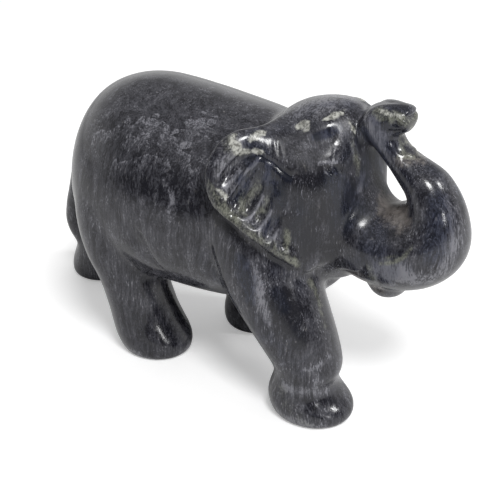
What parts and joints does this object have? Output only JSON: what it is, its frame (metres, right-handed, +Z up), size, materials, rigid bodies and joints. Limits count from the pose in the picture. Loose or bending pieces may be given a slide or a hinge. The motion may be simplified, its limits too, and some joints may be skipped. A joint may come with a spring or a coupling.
{
  "type": "elephant statue",
  "caption": "Small carved and polished stone elephant in a walking pose, its trunk curled up to rest on its brow, standing on flat soles.",
  "frame": {"origin": "bottom centre of the bounding box, on the plane of the four soles", "axes": "+X towards the head and trunk, +Y to the elephant's left, +Z up"},
  "size_m": [0.1256, 0.0516, 0.0756],
  "materials": {
    "polished_stone": "polished"
  },
  "bodies": {
    "root": {"carved_elephant": "polished_stone"}
  },
  "joints": []
}
